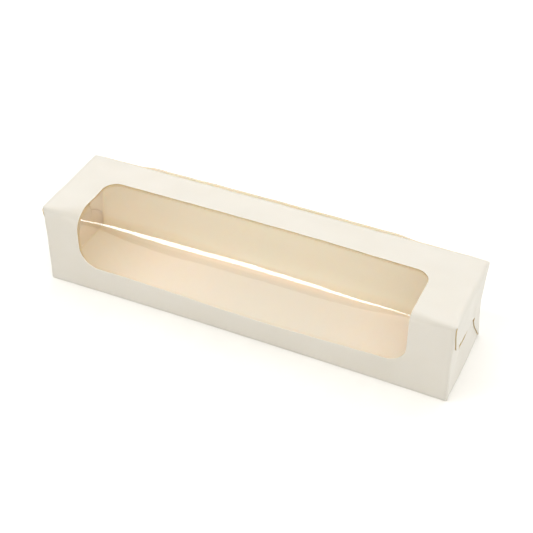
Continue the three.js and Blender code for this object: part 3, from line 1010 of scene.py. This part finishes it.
def film_grid():
    """Rows go back to front and down: level under the top, the bend walked in small steps along its
    own angle, then straight to the sill and on behind it. Columns run along the box."""
    x = spaced(WINDOW_LEFT - FILM_OVERLAP, WINDOW_RIGHT + FILM_OVERLAP, 1.6)
    lean = film_lean(x, np.arange(0, FILM_BEND, FILM_STEP) + FILM_STEP / 2)
    y = -np.cumsum(np.sin(lean), axis=0) * FILM_STEP
    z = FILM_TOP - np.cumsum(np.cos(lean), axis=0) * FILM_STEP
    glued_at = WINDOW_SILL + 1
    start = FILM_FRONT - y[-1] + (z[-1] - glued_at) * np.tan(lean[-1])
    share = np.linspace(0, 1, FILM_ROWS)[:, None]
    behind = glued_at - np.linspace(0, FILM_OVERLAP + 1, GLUED_ROWS + 1)[1:, None]
    y = np.concatenate([
        FILM_REAR + (start - FILM_REAR) * share,
        start + y,
        start + y[-1] + (FILM_FRONT - start - y[-1]) * share[1:],
        np.full((GLUED_ROWS, len(x)), FILM_FRONT),
    ])
    z = np.concatenate([
        np.full((FILM_ROWS, len(x)), FILM_TOP),
        z,
        z[-1] + (glued_at - z[-1]) * share[1:],
        np.broadcast_to(behind, (GLUED_ROWS, len(x))),
    ])
    points = np.stack([np.broadcast_to(x, y.shape), y, z], axis=-1)
    run = np.append(0, np.cumsum(np.hypot(np.diff(y[:, 0]), np.diff(z[:, 0]))))
    return points, np.stack([points[..., 0], np.broadcast_to(run[:, None], y.shape)], axis=-1)


film_points, film_blank = film_grid()
film = surface(
    "clear_film",
    sprung(film_points, FILM_WAVINESS).reshape(-1, 3),
    grid_faces(film_points.shape[:2], 0)[:, ::-1],
    film_blank.reshape(-1, 2),
)
film_wall = film.modifiers.new("film_thickness", "SOLIDIFY")
film_wall.thickness = FILM_THICKNESS * MM
film_wall.offset = -1
print("film grid", film_points.shape[:2])

# %% [markdown]
# ## A finish to look through
#
# Film is nearly invisible until it mirrors something bright. Straight on it reflects about a
# twentieth of the light, and much more at a glancing angle.
# A full glass shader would bend the light and darken the inside with noise. A mix of see-through
# and mirror is cleaner, with the share of mirror rising with the angle as on any clear plastic.

# %% Film finish
MIRROR_FACING, MIRROR_GLANCING = 0.055, 0.96


def clear_film():
    """See-through mixed with mirror: a twentieth facing the eye, rising with the fifth power."""
    material, tree = new_material("clear_film")
    facing = node(tree, "ShaderNodeLayerWeight", Blend=0.5)
    power = node(tree, "ShaderNodeMath", operation="POWER")
    power.inputs[1].default_value = 5
    link(tree, facing.outputs["Facing"], power.inputs[0])
    share = node(tree, "ShaderNodeMath", operation="MULTIPLY_ADD")
    share.inputs[1].default_value = MIRROR_GLANCING
    share.inputs[2].default_value = MIRROR_FACING
    link(tree, power.outputs[0], share.inputs[0])
    ripple = noise(tree, blank_coordinates(tree, (0.02, 0.06, 1.0)), 1.0, 2)
    smear = noise(tree, blank_coordinates(tree, (0.05, 0.12, 1.0)), 1.0, 4)
    through = node(tree, "ShaderNodeBsdfTransparent", Color=(1, 1, 1, 1))
    mirror = node(tree, "ShaderNodeBsdfGlossy", Color=(1, 1, 1, 1))
    link(tree, grey(tree, smear, 0.02, 0.05), mirror.inputs["Roughness"])
    link(tree, bump(tree, ripple, 0.0006, 0.25), mirror.inputs["Normal"])
    mix = node(tree, "ShaderNodeMixShader")
    link(tree, share.outputs[0], mix.inputs["Fac"])
    link(tree, through.outputs[0], mix.inputs[1])
    link(tree, mirror.outputs[0], mix.inputs[2])
    output = node(tree, "ShaderNodeOutputMaterial")
    link(tree, mix.outputs[0], output.inputs["Surface"])
    return material


film.data.materials.append(clear_film())
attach(film, "root")
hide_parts("window_film")
print("film finish", film.data.materials[0].name)

# %% [markdown]
# ## Floor, light and camera
#
# The picture was taken on a bright white sweep. A pale floor and a long narrow softbox above the
# front give the box its bright top, a darker front and a faint soft shadow. The film's bend
# mirrors the softbox as the line of light, so its width and place matter as much as its strength.
# Two weaker lights from the front open up the front wall and the right end, and surroundings that
# are brightest behind the box and warmer in front light the inside through its walls.
# One large light overhead would be simpler, but it leaves the front grey and the inside dull.

# %% Floor
def stage_floor():
    """A large pale plane under the box."""
    side = 4.0
    corners = [[-side, -side, 0], [side, -side, 0], [side, side, 0], [-side, side, 0]]
    mesh = bpy.data.meshes.new("floor")
    mesh.from_pydata(corners, [], [[0, 1, 2, 3]])
    floor = bpy.data.objects.new("floor", mesh)
    bpy.context.scene.collection.objects.link(floor)
    material, tree = new_material("pale_floor")
    coordinates = node(tree, "ShaderNodeTexCoord")
    speckle = noise(tree, coordinates.outputs["Object"], 60, 3)
    colour = ramp(tree, speckle, [(0.3, (0.91, 0.905, 0.89)), (0.7, (0.93, 0.925, 0.91))])
    normal = bump(tree, speckle, 0.0002, 0.2)
    finish_surface(tree, colour, grey(tree, speckle, 0.7, 0.8), normal, {"Specular IOR Level": 0.2})
    mesh.materials.append(material)
    return floor


floor = stage_floor()
print("floor", floor.name)

# %% Lights
def soft_light(name, place, target, size, power, colour):
    """A rectangular soft light at a place, turned to a target."""
    data = bpy.data.lights.new(name, "AREA")
    data.shape = "RECTANGLE"
    data.size, data.size_y = size
    data.energy = power
    data.color = colour
    lamp = bpy.data.objects.new(name, data)
    lamp.location = place
    lamp.rotation_euler = (Vector(target) - Vector(place)).to_track_quat("-Z", "Y").to_euler()
    bpy.context.scene.collection.objects.link(lamp)


BOX_MIDDLE = (0, 0, 0.03)
soft_light("strip_softbox", (-0.58, -0.62, 1.5), (-0.58, 0, 0), (2.0, 0.22), 10.3, (1.0, 1.0, 1.0))
soft_light("right_fill", (0.7, -0.9, 1.1), BOX_MIDDLE, (0.8, 0.8), 4.4, (1.0, 0.97, 0.91))
soft_light("left_fill", (-0.7, -0.9, 0.7), BOX_MIDDLE, (0.8, 0.8), 0.6, (1.0, 0.97, 0.9))

# %% Bright surroundings
BRIGHTEST_TOWARDS = (0.1, 0.986, -0.13)
STRENGTH_AHEAD, STRENGTH_BEHIND = 0.36, 1.60


def surroundings():
    """Strength rises evenly with the cosine to the brightest direction, behind the box, and the
    tint goes from warm in front to white."""
    world = bpy.data.worlds.new("studio")
    world.use_nodes = True
    tree = world.node_tree
    background = tree.nodes["Background"]
    around = node(tree, "ShaderNodeTexCoord")
    cosine = node(tree, "ShaderNodeVectorMath", operation="DOT_PRODUCT")
    cosine.inputs[1].default_value = BRIGHTEST_TOWARDS
    link(tree, around.outputs["Generated"], cosine.inputs[0])
    strength = node(tree, "ShaderNodeMapRange", **{
        "From Min": -1.0,
        "From Max": 1.0,
        "To Min": STRENGTH_AHEAD,
        "To Max": STRENGTH_BEHIND,
    })
    link(tree, cosine.outputs["Value"], strength.inputs["Value"])
    link(tree, strength.outputs["Result"], background.inputs["Strength"])
    tint = ramp(tree, cosine.outputs["Value"], [(0.0, (1.0, 0.97, 0.905)), (0.5, (1.0, 1.0, 1.0))])
    link(tree, tint, background.inputs["Color"])
    return world


bpy.context.scene.world = surroundings()
bpy.context.scene.view_settings.view_transform = "Standard"
print("surroundings", bpy.context.scene.world.name)

# %% Camera
CAMERA_PLACE = Vector((0.21527, -0.45519, 0.43770))
CAMERA_AHEAD = Vector((-0.326547, 0.703936, -0.630746))
camera_data = bpy.data.cameras.new("camera")
camera_data.lens = 79.324
camera_data.sensor_width = 36
camera = bpy.data.objects.new("camera", camera_data)
camera.location = CAMERA_PLACE
camera.rotation_euler = CAMERA_AHEAD.to_track_quat("-Z", "Y").to_euler()
bpy.context.scene.collection.objects.link(camera)
bpy.context.scene.camera = camera
print("camera lens", camera_data.lens)
